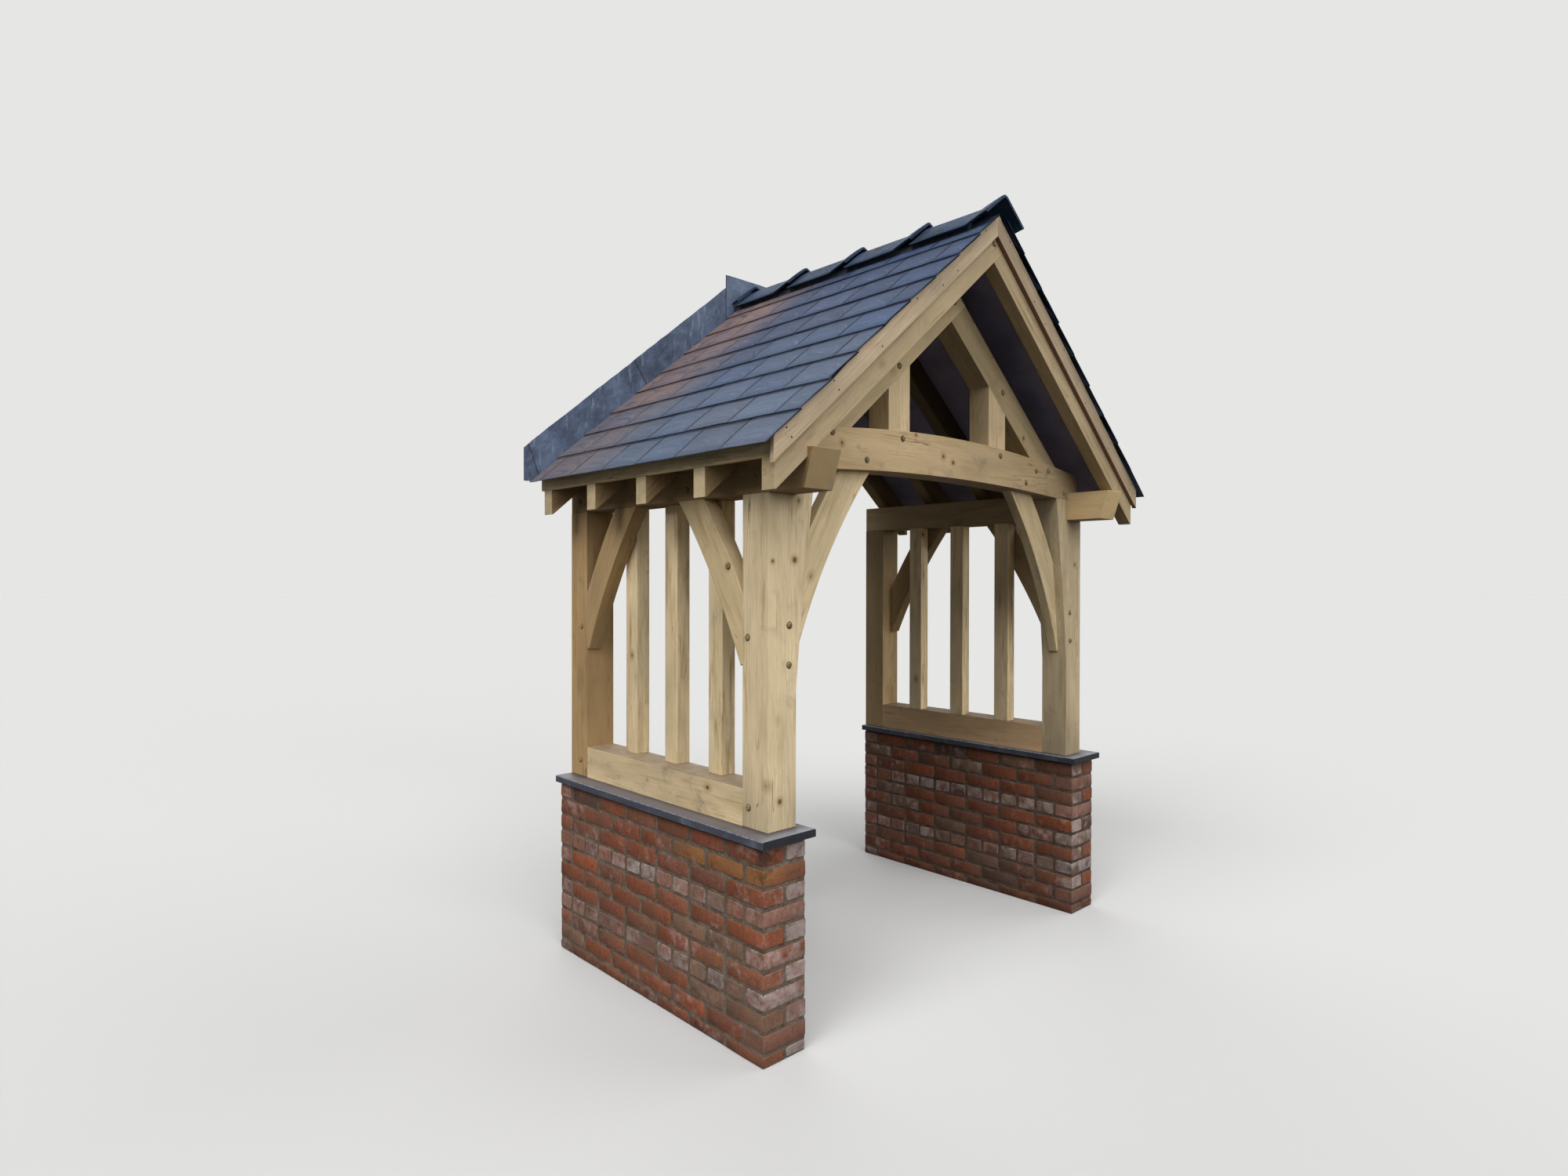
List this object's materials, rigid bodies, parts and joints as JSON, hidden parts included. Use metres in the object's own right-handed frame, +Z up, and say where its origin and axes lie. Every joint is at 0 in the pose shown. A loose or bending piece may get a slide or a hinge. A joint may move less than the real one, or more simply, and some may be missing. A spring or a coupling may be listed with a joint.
{
  "type": "gabled oak porch canopy on brick dwarf walls",
  "caption": "Gabled porch canopy: pegged oak frame on brick dwarf walls with slate copings, arched tie beam and braces, slated roof with ridge tiles and lead at the wall.",
  "frame": {"origin": "on the ground, midway between the two dwarf walls and midway through the depth from the ridge tile's front end to the house wall", "axes": "+X along the house wall, to the right as seen from the front; +Y into the house; +Z up"},
  "size_m": [2.788, 1.691, 3.4831],
  "materials": {
    "brick": "reclaimed, sand-faced, with lime on some faces",
    "coping_slate": "honed, with worn arrises",
    "oak": "fresh sawn green oak, unfinished",
    "board": "planed, unfinished",
    "batten": "rough sawn",
    "roof_slate": "riven, matt",
    "ridge_tile": "blue-black, weathered",
    "mortar": "struck, rough",
    "lead": "milled sheet with a dull blue-grey patina",
    "underlay": "woven sheet"
  },
  "bodies": {
    "root": {"brick_wall_left": "brick", "brick_wall_right": "brick", "coping_left": "coping_slate", "coping_right": "coping_slate", "sill_rail_left": "oak", "sill_rail_right": "oak", "front_post_left": "oak", "front_post_right": "oak", "rear_post_left": "oak", "rear_post_right": "oak", "studs_left": "oak", "studs_right": "oak", "eaves_plate_left": "oak", "eaves_plate_right": "oak", "side_brace_front_left": "oak", "side_brace_front_right": "oak", "side_brace_rear_left": "oak", "side_brace_rear_right": "oak", "knee_brace_left": "oak", "knee_brace_right": "oak", "tie_beam": "oak", "principal_rafter_left": "oak", "principal_rafter_right": "oak", "queen_strut_left": "oak", "queen_strut_right": "oak", "rafters_left": "oak", "rafters_right": "oak", "barge_rafter_left": "oak", "barge_rafter_right": "oak", "barge_board_left": "board", "barge_board_right": "board", "eaves_board_left": "board", "eaves_board_right": "board", "underlay_left": "underlay", "underlay_right": "underlay", "battens_left": "batten", "battens_right": "batten", "slates_left": "roof_slate", "slates_right": "roof_slate", "ridge_bedding": "mortar", "ridge_tiles": "ridge_tile", "flashing_left": "lead", "flashing_right": "lead", "ridge_saddle": "lead"}
  },
  "joints": []
}
